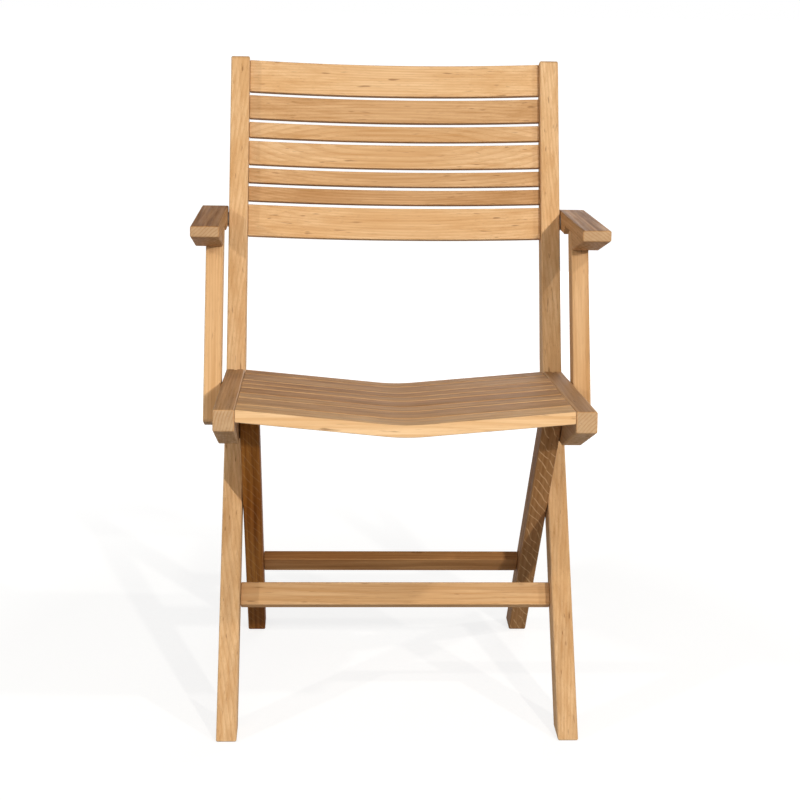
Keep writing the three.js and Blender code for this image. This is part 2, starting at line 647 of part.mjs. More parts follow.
function armSupport(name, side) {
  const frontTop = step(supportTop, supportRear, -supportFrontReach);
  const rearTop = step(supportTop, supportRear, supportRearReach);
  const lid = step(supportTop, armDown, -SUPPORT_TOP_RADIUS);
  const foot = step(supportFoot, supportUp, -SUPPORT_FOOT);
  const lidEnd = armDown.clone().negate().angle();
  const rearEnd = supportRear.angle() + Math.acos(supportRearReach / SUPPORT_TOP_RADIUS);
  const turn = rearEnd - 2 * Math.PI - lidEnd;
  const rearShoulder = arc(supportTop, SUPPORT_TOP_RADIUS, lidEnd, turn).map((at) => [at, 0]);
  const outline = roundCorners([
    [meet(foot, supportRear, frontTop, supportUp), SUPPORT_FOOT_ROUND],
    [meet(lid, armForward, frontTop, supportUp), 0],
    ...rearShoulder,
    [meet(foot, supportRear, rearTop, supportUp), SUPPORT_FOOT_ROUND],
  ]);
  const cuts = [
    hole(side, supportTop, BOLT_RADIUS, topPinEnd - HOLE_GAP, supportOuter + CUT_OVERRUN),
    hole(side, supportFoot, BOLT_RADIUS, sideInner - CUT_OVERRUN, supportOuter + CUT_OVERRUN),
    hole(side, supportFoot, BOLT_HEAD_RADIUS, supportOuter - COUNTERBORE_DEPTH, supportOuter + CUT_OVERRUN),
  ];
  const body = sideBoard(side, outline, sideInner, supportOuter, EDGE_EASE);
  add(name, cut(body, cuts), armTeak);
}

// A bolt with its head sunk in the outer face of a piece.
function bolt(name, side, centre, end, face, headRadius) {
  const head = face - COUNTERBORE_DEPTH + HOLE_GAP;
  const crown = head + BOLT_HEAD_THICK;
  add(name, turned(side, centre, [
    [end, 0],
    [end, BOLT_RADIUS],
    [head, BOLT_RADIUS],
    [head, headRadius],
    [crown - BOLT_HEAD_EASE, headRadius],
    [crown, headRadius - BOLT_HEAD_EASE],
    [crown, 0],
  ]), brass);
}

function washer(name, side, centre, near, far) {
  const inner = near + JOINT_GAP;
  const outer = far - JOINT_GAP;
  const bore = BOLT_RADIUS + HOLE_GAP;
  add(name, turned(side, centre, [
    [inner, bore],
    [inner, WASHER_RADIUS],
    [outer, WASHER_RADIUS],
    [outer, bore],
    [inner, bore],
  ]), steel);
}

const rodBetween = (side, centre, radius, start, end) =>
  turned(side, centre, [[start, 0], [start, radius], [end, radius], [end, 0]]);

function hingeParts(name, side) {
  const near = bladeMiddle - BLADE_THICK / 2;
  const blade = sideBoard(side, bladeOutline(0), near, near + BLADE_THICK);
  const eye = hole(side, hinge, HINGE_PIN_RADIUS, near - CUT_OVERRUN, near + BLADE_THICK + CUT_OVERRUN);
  add(`seat_hinge_blade_${name}`, cut(blade, [eye]), brass);
  add(`seat_hinge_pin_${name}`, rodBetween(side, hinge, HINGE_PIN_RADIUS, hingePinStart, hingePinEnd), steel);
}

for (const [name, side] of sides) {
  stile(`stile_${name}`, side);
  rearLeg(`rear_leg_${name}`, side);
  seatRail(`seat_rail_${name}`, side);
  armBoard(`arm_${name}`, side);
  armSupport(`arm_support_${name}`, side);
  hingeParts(name, side);
  bolt(`arm_bolt_${name}`, side, armPivot, boltEnd, armOuter, BOLT_HEAD_RADIUS);
  bolt(`leg_bolt_${name}`, side, crossing, legBoltEnd, stileOuter, BOLT_HEAD_RADIUS);
  bolt(`support_bolt_${name}`, side, supportFoot, boltEnd, supportOuter, BOLT_HEAD_RADIUS);
  bolt(`support_top_pin_${name}`, side, supportTop, topPinEnd, armOuter, PIN_HEAD_RADIUS);
  washer(`arm_washer_${name}`, side, armPivot, stileOuter, sideInner);
  washer(`support_washer_${name}`, side, supportFoot, railOuter, sideInner);
  washer(`leg_washer_${name}`, side, crossing, rearLegOuter, INNER_HALF_WIDTH);
}
backSlats();
seatSlats();
stretcher("front_stretcher", stretcherFoot(toe, legUp, FRONT_STRETCHER_UP), legRear,
  FRONT_STRETCHER_INSET, INNER_HALF_WIDTH, frontTenonOutline(0));
stretcher("rear_stretcher", stretcherFoot(rearToe, rearLegUp, REAR_STRETCHER_UP), rearLegRear,
  REAR_STRETCHER_INSET, rearLegInner, rearTenonOutline(0));
add("rear_leg_rod", rodBetween(1, rod, ROD_RADIUS, -rodEnd, rodEnd), steel);

export default root;
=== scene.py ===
import json
import math

import bmesh
import bpy
from mathutils import Euler, Matrix, Vector


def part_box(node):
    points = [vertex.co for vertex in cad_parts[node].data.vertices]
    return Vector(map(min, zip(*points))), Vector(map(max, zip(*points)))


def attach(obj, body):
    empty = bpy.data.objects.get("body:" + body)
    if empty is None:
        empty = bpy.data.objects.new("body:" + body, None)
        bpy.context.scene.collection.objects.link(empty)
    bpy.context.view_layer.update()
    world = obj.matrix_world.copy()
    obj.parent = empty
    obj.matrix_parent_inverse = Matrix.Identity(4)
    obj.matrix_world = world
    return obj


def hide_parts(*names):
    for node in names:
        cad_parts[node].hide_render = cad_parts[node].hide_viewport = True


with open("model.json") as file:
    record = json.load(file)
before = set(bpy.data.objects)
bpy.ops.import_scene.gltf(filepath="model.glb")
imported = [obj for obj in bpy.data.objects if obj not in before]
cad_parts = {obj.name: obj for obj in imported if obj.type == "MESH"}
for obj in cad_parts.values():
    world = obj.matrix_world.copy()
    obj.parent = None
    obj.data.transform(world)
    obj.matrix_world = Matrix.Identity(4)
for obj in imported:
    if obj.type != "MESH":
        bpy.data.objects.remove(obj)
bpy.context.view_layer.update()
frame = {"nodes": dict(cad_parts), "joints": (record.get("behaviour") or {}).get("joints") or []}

scene = bpy.context.scene
scene.view_settings.view_transform = "Standard"

# Camera. The photograph was taken from the front, a little left of the middle and above the armrests,
# and its frame was cut off centre, which the shift repeats. The angles are in degrees.
CAMERA_PLACE = (-0.11446, -2.82701, 1.099)
CAMERA_TURN = -3.71
CAMERA_DIP = 11.49
CAMERA_ROLL = 1.23
camera = bpy.data.objects.new("camera", bpy.data.cameras.new("camera"))
scene.collection.objects.link(camera)
camera.location = CAMERA_PLACE
camera.rotation_euler = (Matrix.Rotation(math.radians(CAMERA_TURN), 3, "Z")
                         @ Matrix.Rotation(math.radians(90 - CAMERA_DIP), 3, "X")
                         @ Matrix.Rotation(math.radians(CAMERA_ROLL), 3, "Z")).to_euler()
camera.data.lens = 92.03
camera.data.shift_x = -0.0585
camera.data.shift_y = -0.0871
scene.camera = camera

# Light. Three small lamps draw the photograph's edges of shade: the main one far off to the front and right,
# a higher one on the right and one on the left. A wide soft lamp in front, a low one behind and the faint
# white room lift that shade.
CHAIR_MIDDLE = Vector((0, 0, 0.5))
WARM_WHITE = (1, 0.965, 0.9)
ROOM_LIGHT = 0.13


def lamp(name, place, size, watts, color):
    """A round lamp that faces the middle of the chair."""
    light = bpy.data.lights.new(name, "AREA")
    light.shape = "DISK"
    light.size = size
    light.energy = watts
    light.color = color
    holder = bpy.data.objects.new(name, light)
    holder.location = place
    holder.rotation_euler = (CHAIR_MIDDLE - Vector(place)).to_track_quat("-Z", "Y").to_euler()
    scene.collection.objects.link(holder)


def add_node(tree, kind, **values):
    node = tree.nodes.new("ShaderNode" + kind)
    for key, value in values.items():
        setattr(node, key, value)
    return node


def feed(tree, value, socket):
    """Gives a socket another node's result or a plain value."""
    if isinstance(value, bpy.types.NodeSocket):
        tree.links.new(value, socket)
    else:
        socket.default_value = value


def math_node(tree, operation, *values, kind="Math"):
    node = add_node(tree, kind, operation=operation)
    for value, socket in zip(values, node.inputs):
        feed(tree, value, socket)
    return node.outputs[0]


def fit_range(tree, value, low, high, start=0.0, end=1.0):
    """The value moved from the range of low to high to that of start to end, and held inside it."""
    node = add_node(tree, "MapRange")
    for number, name in ((low, "From Min"), (high, "From Max"), (start, "To Min"), (end, "To Max")):
        node.inputs[name].default_value = number
    tree.links.new(value, node.inputs["Value"])
    return node.outputs["Result"]


def straight_rays(tree):
    """One for rays from the camera, off metal and through glass, which see the background white."""
    rays = add_node(tree, "LightPath")
    bounced = math_node(tree, "MAXIMUM", rays.outputs["Is Glossy Ray"], rays.outputs["Is Transmission Ray"])
    return math_node(tree, "MAXIMUM", rays.outputs["Is Camera Ray"], bounced)


lamp("main_lamp", (1.5, -4.7, 2.2), 0.16, 146, WARM_WHITE)
lamp("right_lamp", (2.1, -1.63, 2.83), 0.12, 31, WARM_WHITE)
lamp("left_lamp", (-2.61, -1.59, 2.05), 0.12, 31, WARM_WHITE)
lamp("front_lamp", (-0.6, -3.4, 1.7), 2.4, 33, (1, 0.97, 0.92))
lamp("rear_lamp", (1.2, 3.2, 0.9), 2.2, 34, (1, 0.98, 0.95))
room = bpy.data.worlds.new("room")
room.use_nodes = True
scene.world = room
tree = room.node_tree
walls = tree.nodes["Background"]
walls.inputs["Color"].default_value = (1, 1, 1, 1)
tree.links.new(fit_range(tree, straight_rays(tree), 0, 1, ROOM_LIGHT, 1), walls.inputs["Strength"])

# Floor. A plain white sheet under the chair. Its own glow keeps it white for the camera and is a little
# weaker near the chair, so that it shows the chair's soft shadow and nothing else.
FLOOR_SIZE = 40
FLOOR_DROP = 0.0005
FLOOR_TONE = 0.3
SHADOW_FROM = 0.6
SHADOW_TO = 1.6
SHADOW_GLOW = 0.78


def new_material(name):
    material = bpy.data.materials.new(name)
    material.use_nodes = True
    return material, material.node_tree, material.node_tree.nodes["Principled BSDF"]


bpy.ops.object.select_all(action="DESELECT")
bpy.ops.mesh.primitive_plane_add(size=FLOOR_SIZE, location=(0, 0, -FLOOR_DROP))
floor = bpy.context.object
floor.name = "floor"
paper, tree, shader = new_material("white_sheet")
shader.inputs["Base Color"].default_value = (FLOOR_TONE, FLOOR_TONE, FLOOR_TONE, 1)
shader.inputs["Roughness"].default_value = 0.9
shader.inputs["Specular IOR Level"].default_value = 0.1
shader.inputs["Emission Color"].default_value = (1, 1, 1, 1)
away = add_node(tree, "VectorMath", operation="LENGTH")
tree.links.new(add_node(tree, "TexCoord").outputs["Object"], away.inputs[0])
glow = fit_range(tree, away.outputs["Value"], SHADOW_FROM, SHADOW_TO, SHADOW_GLOW, 1)
tree.links.new(math_node(tree, "MULTIPLY", straight_rays(tree), glow), shader.inputs["Emission Strength"])
floor.data.materials.append(paper)

# Stiles. Each front leg and back post is one teak board, sawn with a bend at the seat, thinner towards the
# top, with mortises for the slats and a sunk hole for the leg bolt. Its edges are rounded over, and its
# grain runs straight on past the bend, at a lean between those of the leg and the back.
STILE_LEAN = 28.4
BOARD_ROUNDING = 0.0006
EASED_EDGE_TURNS = (math.radians(34), math.radians(56))
SMOOTH_BELOW = math.radians(35)

# Light, middle and dark shades of the palest board and of the brownest, pores, sawn ends, clean and dirty
# weathering tints that also paint shade on upward faces, and how much rounded edges are lightened, as rubbed
# wear and as a painted highlight.
PALE = ((0.86, 0.615, 0.37), (0.78, 0.51, 0.27), (0.6, 0.325, 0.13))
BROWN = ((0.5, 0.24, 0.08), (0.37, 0.152, 0.043), (0.19, 0.072, 0.018))
PORE = (0.2, 0.085, 0.03, 1)
DRY = (0.45, 0.32, 0.2, 1)
GREY = (0.69, 0.585, 0.43, 1)
BROWNED = (0.34, 0.24, 0.135, 1)
# How much rounded edges are lightened: rubbed wear and a painted highlight.
RUBBED_AND_HIGHLIGHT = 0.2


def blend_color(first, second, share):
    return tuple(a + (b - a) * share for a, b in zip(first, second)) + (1,)


def mix_color(tree, share, first, second, blend="MIX"):
    """A Mix node for colours, which takes them at sockets 6 and 7 and gives its result at output 2."""
    node = add_node(tree, "Mix", data_type="RGBA", blend_type=blend)
    for value, number in ((share, 0), (first, 6), (second, 7)):
        feed(tree, value, node.inputs[number])
    return node.outputs[2]


def mapped(tree, place, location=(0, 0, 0), rotation=(0, 0, 0), scale=(1, 1, 1), kind="POINT"):
    node = add_node(tree, "Mapping", vector_type=kind)
    for value, name in ((location, "Location"), (rotation, "Rotation"), (scale, "Scale")):
        node.inputs[name].default_value = value
    tree.links.new(place, node.inputs["Vector"])
    return node.outputs["Vector"]


def noise(tree, place, along, across, detail=2, rough=0.5, output="Fac"):
    """Soft noise that changes about so many times a metre along the grain and across it."""
    texture = add_node(tree, "TexNoise")
    for value, name in ((1, "Scale"), (detail, "Detail"), (rough, "Roughness")):
        texture.inputs[name].default_value = value
    tree.links.new(mapped(tree, place, scale=(along, across, across)), texture.inputs["Vector"])
    return texture.outputs[output]


def waves(tree, place, spacing, distortion, detail_scale, **values):
    """Rings or bands at that spacing. A Wave texture of scale 1 repeats every tenth part of pi."""
    texture = add_node(tree, "TexWave", **values)
    for value, name in ((2 * math.pi / (20 * spacing), "Scale"), (distortion, "Distortion"),
                        (2, "Detail"), (detail_scale, "Detail Scale")):
        texture.inputs[name].default_value = value
    tree.links.new(place, texture.inputs["Vector"])
    return texture.outputs["Fac"]


def growth_rings(tree, grain, ring, heart):
    """Growth rings about the log's heart, which wander a little along the board."""
    wander = noise(tree, grain, 3.2, 16, output="Color")
    centred = math_node(tree, "SUBTRACT", wander, (0.5, 0.5, 0.5), kind="VectorMath")
    swing = math_node(tree, "MULTIPLY_ADD", centred, (0, 0.013, 0.013), grain, kind="VectorMath")
    log = mapped(tree, swing, (0, *heart), (0, math.radians(1.6), math.radians(2.2)), (0.1, 1, 1))
    return waves(tree, log, ring, 0.7, 0.5, wave_type="RINGS", rings_direction="X", wave_profile="SAW")


def board_sides(tree, normal, turn):
    """How squarely a face looks along the board's grain, X, its width, Y, and its thickness, Z."""
    lie = math_node(tree, "ABSOLUTE", mapped(tree, normal, rotation=turn, kind="TEXTURE"), kind="VectorMath")
    sides = add_node(tree, "SeparateXYZ")
    tree.links.new(lie, sides.inputs[0])
    return sides.outputs


def sawn_ends(tree, color, dark, grain, rings, sides):
    """Sawn ends are dry and pale, and the growth rings are thin dark lines there."""
    fade = fit_range(tree, noise(tree, grain, 60, 60, 3, 0.6), 0.35, 0.65, 0.35, 1)
    line = math_node(tree, "MULTIPLY", fit_range(tree, rings, 0.55, 1), fade)
    sawn = mix_color(tree, line, mix_color(tree, 0.6, color, DRY), dark)
    return mix_color(tree, fit_range(tree, sides["X"], 0.75, 0.95), color, sawn)


def ray_flecks(tree, color, grain, sides, strength):
    """Pale ray flecks cross the front and rear faces of a quarter-sawn board."""
    slant = mapped(tree, grain, rotation=(0, math.radians(-62), math.radians(20)))
    rays = waves(tree, slant, 0.0105, 5, 0.7, wave_type="BANDS", bands_direction="X")
    thin = fit_range(tree, rays, 0.91, 1, 0, strength)
    broken = fit_range(tree, noise(tree, grain, 55, 70), 0.37, 0.5)
    shown = math_node(tree, "MULTIPLY", broken, fit_range(tree, sides["Y"], 0.5, 0.9))
    return mix_color(tree, math_node(tree, "MULTIPLY", thin, shown), color, (*PALE[1], 1))


def weathering_and_painted_shade(tree, color, grain, normal, wear_and_shade):
    """Upward faces are greyer and duller: partly weathering from sitting, handling and rain, partly painted
    shade.
    """
    upwards = add_node(tree, "SeparateXYZ")
    tree.links.new(normal, upwards.inputs[0])
    grime = fit_range(tree, noise(tree, grain, 9, 60, 4, 0.6), 0.3, 0.6, 0.65, 1)
    grey = math_node(tree, "MULTIPLY", fit_range(tree, upwards.outputs["Z"], 0.3, 0.92, 0, wear_and_shade), grime)
    stain = mix_color(tree, fit_range(tree, noise(tree, grain, 2.4, 75, 3, 0.6), 0.42, 0.58), GREY, BROWNED)
    return mix_color(tree, grey, color, mix_color(tree, 1, color, stain, "MULTIPLY"))


def add_relief(tree, shader, height, strength, depth):
    bump = add_node(tree, "Bump")
    bump.inputs["Strength"].default_value = strength
    bump.inputs["Distance"].default_value = depth
    tree.links.new(height, bump.inputs["Height"])
    tree.links.new(bump.outputs["Normal"], shader.inputs["Normal"])


def teak(name, turn, shift, tone, ring=0.0042, heart=(0.05, 0.06), wear_and_shade=0.5, flecks=0.0):
    """Oiled teak. turn holds the board's grain, width and thickness axes, shift its place in the log,
    tone its brownness from 0 to about 1, ring the growth rings' width, heart how far off the log's heart
    lies, wear_and_shade how much the faces that lie upwards are greyed by weathering and painted shade,
    and flecks how much ray fleck shows."""
    material, tree, shader = new_material(name)
    place = add_node(tree, "TexCoord").outputs
    grain = mapped(tree, place["Object"], shift, turn, kind="TEXTURE")
    sides = board_sides(tree, place["Normal"], turn)
    rings = growth_rings(tree, grain, ring, heart)
    light, middle, dark = (blend_color(pale, brown, tone) for pale, brown in zip(PALE, BROWN))

    # Cloudy patches, bands, streaks, late wood and fibres, all drawn out along the grain.
    band = noise(tree, grain, 2.4, 85)
    streak = noise(tree, grain, 5, 230, 3, 0.55)
    fibre = noise(tree, grain, 22, 900, 3, 0.6)
    color = mix_color(tree, fit_range(tree, noise(tree, grain, 4, 22), 0.35, 0.65), light, middle)
    for figure, low, high, strength in ((band, 0.42, 0.68, 0.4), (streak, 0.44, 0.72, 0.6),
                                        (rings, 0.45, 1, 0.45), (fibre, 0.3, 0.75, 0.35)):
        color = mix_color(tree, fit_range(tree, figure, low, high, 0, strength), color, dark)

    # Open pores and a few short dark marks.
    pores = fit_range(tree, noise(tree, grain, 50, 1600, 1), 0.64, 0.74, 0, 0.3)
    marks = fit_range(tree, noise(tree, grain, 30, 280, 1), 0.69, 0.77, 0, 0.6)
    specks = math_node(tree, "MAXIMUM", pores, marks)
    color = mix_color(tree, specks, color, PORE)

    color = sawn_ends(tree, color, dark, grain, rings, sides)
    if flecks:
        color = ray_flecks(tree, color, grain, sides, flecks)
    # Upward faces greyed and darkened: weathering, and painted shade where the light only grazes them.
    color = weathering_and_painted_shade(tree, color, grain, place["Normal"], wear_and_shade)

    # Rounded edges face no side squarely and are lighter: partly rubbed bright by use, partly a painted
    # highlight.
    squarest = math_node(tree, "MAXIMUM", sides["X"], math_node(tree, "MAXIMUM", sides["Y"], sides["Z"]))
    color = mix_color(tree, fit_range(tree, squarest, 0.97, 0.86, 0, RUBBED_AND_HIGHLIGHT), color, light)
    tree.links.new(color, shader.inputs["Base Color"])

    tree.links.new(fit_range(tree, streak, 0.3, 0.7, 0.52, 0.68), shader.inputs["Roughness"])
    shader.inputs["Specular IOR Level"].default_value = 0.06
    relief = math_node(tree, "SUBTRACT", math_node(tree, "MULTIPLY", fibre, 0.5), specks)
    add_relief(tree, shader, relief, 0.3, 0.0004)
    return material


def upright(lean):
    """The grain axes of a board that stands in the side plane, leaning back by that many degrees."""
    return (Matrix.Rotation(math.radians(-lean), 3, "X") @ Matrix.Rotation(-math.pi / 2, 3, "Y")).to_euler()


def pick(piece):
    bpy.ops.object.select_all(action="DESELECT")
    piece.select_set(True)
    bpy.context.view_layer.objects.active = piece


def edit(piece):
    pick(piece)
    bpy.ops.object.mode_set(mode="EDIT")


def smooth(piece):
    """Leaves edit mode and shades the faces smooth, apart from those that meet at a sharp edge."""
    bpy.ops.object.mode_set(mode="OBJECT")
    pick(piece)
    bpy.ops.object.shade_smooth_by_angle(angle=SMOOTH_BELOW)
    even = piece.modifiers.new("even", "WEIGHTED_NORMAL")
    even.keep_sharp = True
    even.weight = 100
    bpy.ops.object.modifier_apply(modifier=even.name)


def finish_piece(piece, material, body, node):
    piece.data.materials.clear()
    piece.data.materials.append(material)
    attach(piece, body)
    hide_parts(node)


def joined_board(name, node):
    """A board with joinery: its CAD solid with whole faces and with its eased edges rounded over."""
    piece = bpy.data.objects.new(name, frame["nodes"][node].data.copy())
    scene.collection.objects.link(piece)
    edit(piece)
    bpy.ops.mesh.select_mode(type="EDGE")
    bpy.ops.mesh.select_all(action="SELECT")
    bpy.ops.mesh.remove_doubles(threshold=0.00001)
    bpy.ops.mesh.dissolve_limited(angle_limit=math.radians(0.4))
    bpy.ops.mesh.select_all(action="DESELECT")
    mesh = bmesh.from_edit_mesh(piece.data)
    for edge in mesh.edges:
        edge.select = EASED_EDGE_TURNS[0] < edge.calc_face_angle(0) < EASED_EDGE_TURNS[1]
    bmesh.update_edit_mesh(piece.data)
    bpy.ops.mesh.bevel(offset=BOARD_ROUNDING, segments=2, affect="EDGES", clamp_overlap=True)
    smooth(piece)
    return piece


for side, shift, tone in (("left", (0.02, 0.31, 0.1), 0.16), ("right", (0.3, 0.07, 0.55), 0.2)):
    stile = joined_board(f"teak_stile_{side}", f"stile_{side}")
    wood = teak(f"teak_of_stile_{side}", upright(STILE_LEAN), shift, tone)
    finish_piece(stile, wood, "frame", f"stile_{side}")

# Back slats. Seven thin teak boards of different widths, bowed backwards and glued into the stiles. Each
# was planed from another plank, so their tones differ. The list gives widths and tones from the top down.
BACK_SLATS = (
    (0.0483, 0.1), (0.0355, 0.42), (0.0232, 0.28), (0.0358, 0.2), (0.022, 0.4), (0.022, 0.55),
    (0.0475, 0.14),
)
BACK_SLAT_THICK = 0.012
BACK_SLAT_GAP = 0.0058
BACK_SLAT_INSET = 0.014
BACK_SLAT_BOW = 0.018
BACK_SLAT_ROUNDING = 0.0013
BOW_STEPS = 12
TOP_ABOVE_BEND = 0.469
ARM_BOLT_ABOVE_BEND = 0.223
ARM_BOLT_INSET = 0.011
HALF_WIDTH = 0.218
SHOULDER = HALF_WIDTH - 0.0003
BACK_LEAN = 20.6
BACK_UP = Vector((0, math.sin(math.radians(BACK_LEAN)), math.cos(math.radians(BACK_LEAN))))
BACK_REAR = Vector((0, BACK_UP.z, -BACK_UP.y))


def crosswise(tilt):
    """The grain axes of a board that runs across the chair, its width rising by that many degrees."""
    return Euler((math.radians(tilt), 0, 0))


def strip(name, corner, width, thick, path, rounding):
    """A board across the chair: its section at the left end, drawn on along the path, edges rounded."""
    bpy.ops.object.select_all(action="DESELECT")
    bpy.ops.mesh.primitive_plane_add(size=1, location=(0, 0, 0))
    piece = bpy.context.object
    piece.name = name
    start = Vector(path[0])
    corners = (corner, corner + width, corner + width + thick, corner + thick)
    for point, place in zip(sorted(piece.data.vertices, key=lambda v: math.atan2(v.co.y, v.co.x)), corners):
        point.co = start + place
    edit(piece)
    bpy.ops.mesh.select_mode(type="FACE")
    bpy.ops.mesh.select_all(action="SELECT")
    for before, after in zip(path, path[1:]):
        move = Vector(after) - Vector(before)
        bpy.ops.mesh.extrude_region_move(TRANSFORM_OT_translate={"value": move})
    bpy.ops.mesh.select_all(action="SELECT")
    bpy.ops.mesh.normals_make_consistent(inside=False)
    bpy.ops.object.mode_set(mode="OBJECT")
    ease = piece.modifiers.new("ease", "BEVEL")
    ease.width = rounding
    ease.segments = 3
    ease.limit_method = "ANGLE"
    ease.angle_limit = math.radians(40)
    bpy.ops.object.modifier_apply(modifier=ease.name)
    smooth(piece)
    return piece


def bowed(x):
    """How far a back slat lies behind the front of the stiles."""
    return BACK_SLAT_INSET + BACK_SLAT_BOW * (1 - (x / HALF_WIDTH) ** 2)


# The joints' pins in the chair's middle plane, and the bend in the front edges of the stiles.
pin = {joint["name"]: Vector((0, *joint["pos_m"][1:])) for joint in frame["joints"]}
bend = pin["arm_left_hinge"] - BACK_UP * ARM_BOLT_ABOVE_BEND - BACK_REAR * ARM_BOLT_INSET
across = [SHOULDER * (k / BOW_STEPS - 1) for k in range(2 * BOW_STEPS + 1)]
bow = [Vector((x, 0, 0)) + BACK_REAR * bowed(x) for x in across]
foot = TOP_ABOVE_BEND
for number, (width, tone) in enumerate(BACK_SLATS, 1):
    foot -= width
    slat = strip(f"teak_back_slat_{number}", bend + BACK_UP * foot, BACK_UP * width,
                 BACK_REAR * BACK_SLAT_THICK, bow, BACK_SLAT_ROUNDING)
    foot -= BACK_SLAT_GAP
    shift = (0.37 * number, 0.13 * number, 0.21 * number)
    ring = 0.0036 + 0.0004 * (number % 3)
    wood = teak(f"teak_of_back_slat_{number}", crosswise(90 - BACK_LEAN), shift, tone, ring)
    finish_piece(slat, wood, "frame", f"back_slat_{number}")

# Front stretcher. A straight teak board that holds the front legs apart. Both of its ends are glued into
# mortises in the legs' inner faces.
STRETCHER_WIDTH = 0.033
STRETCHER_THICK = 0.015
STRETCHER_ROUNDING = 0.0016
STRETCHER_STATION = 0.1
FRONT_STRETCHER_UP = 0.201
FRONT_STRETCHER_INSET = 0.026
LEG_LEAN = 36.1
TOE_TO_BEND = Vector((0, 0.325, 0.445))
LEG_UP = TOE_TO_BEND.normalized()
LEG_REAR = Vector((0, LEG_UP.z, -LEG_UP.y))
toe = bend - TOE_TO_BEND


def stretcher(name, corner, up, rear, end):
    """A straight board between two legs, which reaches that far to both sides of the middle."""
    span = [Vector((x, 0, 0)) for x in (-end, -STRETCHER_STATION, STRETCHER_STATION, end)]
    return strip(name, corner, up * STRETCHER_WIDTH, rear * STRETCHER_THICK, span, STRETCHER_ROUNDING)


corner = toe + LEG_UP * FRONT_STRETCHER_UP + LEG_REAR * FRONT_STRETCHER_INSET
board = stretcher("teak_front_stretcher", corner, LEG_UP, LEG_REAR, SHOULDER)
wood = teak("teak_of_front_stretcher", crosswise(90 - LEG_LEAN), (0.4, 0.33, 0.2), 0.22)
finish_piece(board, wood, "frame", "front_stretcher")

# Rear legs. Two straight teak boards with round tops, inside the stiles and bolted to them where they
# cross. Both have wide growth rings and the right one shows clear ray flecks. Their deep brown tones are
# painted shade, for the seat's shadow that they stand in.
REAR_LEAN = 41.8
# Sides, places in the log, tones and flecks. The high tones also paint the shade under the seat.
REAR_LEG_LOOKS_AND_SHADE = (
    ("left", (0.2, 0.5, 0.31), 1.14, 0.12),
    ("right", (0.6, 0.2, 0.4), 0.78, 0.75),
)
for side, shift, tone, flecks in REAR_LEG_LOOKS_AND_SHADE:
    leg = joined_board(f"teak_rear_leg_{side}", f"rear_leg_{side}")
    wood = teak(f"teak_of_rear_leg_{side}", upright(-REAR_LEAN), shift, tone,
                ring=0.0065, heart=(0.02, 0.03), flecks=flecks)
    finish_piece(leg, wood, "rear_frame", f"rear_leg_{side}")

# Rear stretcher. A teak board of the same section as the front one, but shorter. It holds the rear legs
# apart and is glued into mortises in their inner faces.
REAR_STRETCHER_UP = 0.151
REAR_STRETCHER_INSET = 0.018
REAR_SHOULDER = 0.1905
REAR_TOE_BACK = 0.446
REAR_LEG_UP = Vector((0, -math.sin(math.radians(REAR_LEAN)), math.cos(math.radians(REAR_LEAN))))
REAR_LEG_REAR = Vector((0, REAR_LEG_UP.z, -REAR_LEG_UP.y))
rear_toe = toe + Vector((0, REAR_TOE_BACK, 0))
corner = rear_toe + REAR_LEG_UP * REAR_STRETCHER_UP + REAR_LEG_REAR * REAR_STRETCHER_INSET
board = stretcher("teak_rear_stretcher", corner, REAR_LEG_UP, REAR_LEG_REAR, REAR_SHOULDER)
# Its deep brown tone is painted shade from the seat above.
wood = teak("teak_of_rear_stretcher", crosswise(90 + REAR_LEAN), (0.1, 0.44, 0.6), 0.84)
finish_piece(board, wood, "rear_frame", "rear_stretcher")

# Seat rails. Two teak boards in line with the stiles, sawn with a deep belly. They have mortises for the
# slats, grooves on the inside for the rod and a saw cut at the rear end for the hinge.
SEAT_TILT = 5.1
# How much the seat's upward faces are greyed: weathering and painted shade.
SEAT_WEAR_AND_SHADE = 0.6
for side, shift, tone in (("left", (0.11, 0.2, 0.35), 0.5), ("right", (0.5, 0.35, 0.12), 0.45)):
    rail = joined_board(f"teak_seat_rail_{side}", f"seat_rail_{side}")
    wood = teak(f"teak_of_seat_rail_{side}", upright(SEAT_TILT - 90), shift, tone, wear_and_shade=SEAT_WEAR_AND_SHADE)
    finish_piece(rail, wood, "seat", f"seat_rail_{side}")

# Seat slats. Eight teak boards of different widths, sawn to dip towards a rounded middle and glued into
# the rails. The last one lies between the stiles and stops short of them, and the front one is 0.1 mm
# narrower than its solid, to stay in the CAD box. The list gives widths and tones from the front back.
SEAT_SLATS = (
    (0.0524, 0.0), (0.0555, 0.46), (0.036, 0.38), (0.046, 0.62), (0.034, 0.45), (0.034, 0.55),
    (0.0585, 0.4), (0.037, 0.5),
)
SEAT_SLAT_THICK = 0.0165
SEAT_SLAT_GAP = 0.0053
SEAT_SLAT_ROUNDING = 0.0015
SEAT_BELOW_BEND = 0.0011
SEAT_REAR_SETBACK = 0.01
HINGE_DROP = 0.006
REAR_SLAT_SHOULDER = HALF_WIDTH - 0.0014
DISH_SLOPE = 0.0907
DISH_ROUND = 0.026
DISH_STEPS = 6
SEAT_FORWARD = Vector((0, -math.cos(math.radians(SEAT_TILT)), math.sin(math.radians(SEAT_TILT))))
SEAT_DOWN = Vector((0, -SEAT_FORWARD.z, SEAT_FORWARD.y))


def seat_dip(x):
    """How far the slat lies below its ends: two straight halves that meet in a short curve."""
    if abs(x) > DISH_ROUND:
        return DISH_SLOPE * (HALF_WIDTH - abs(x))
    return DISH_SLOPE * (HALF_WIDTH - DISH_ROUND / 2 - x * x / (2 * DISH_ROUND))


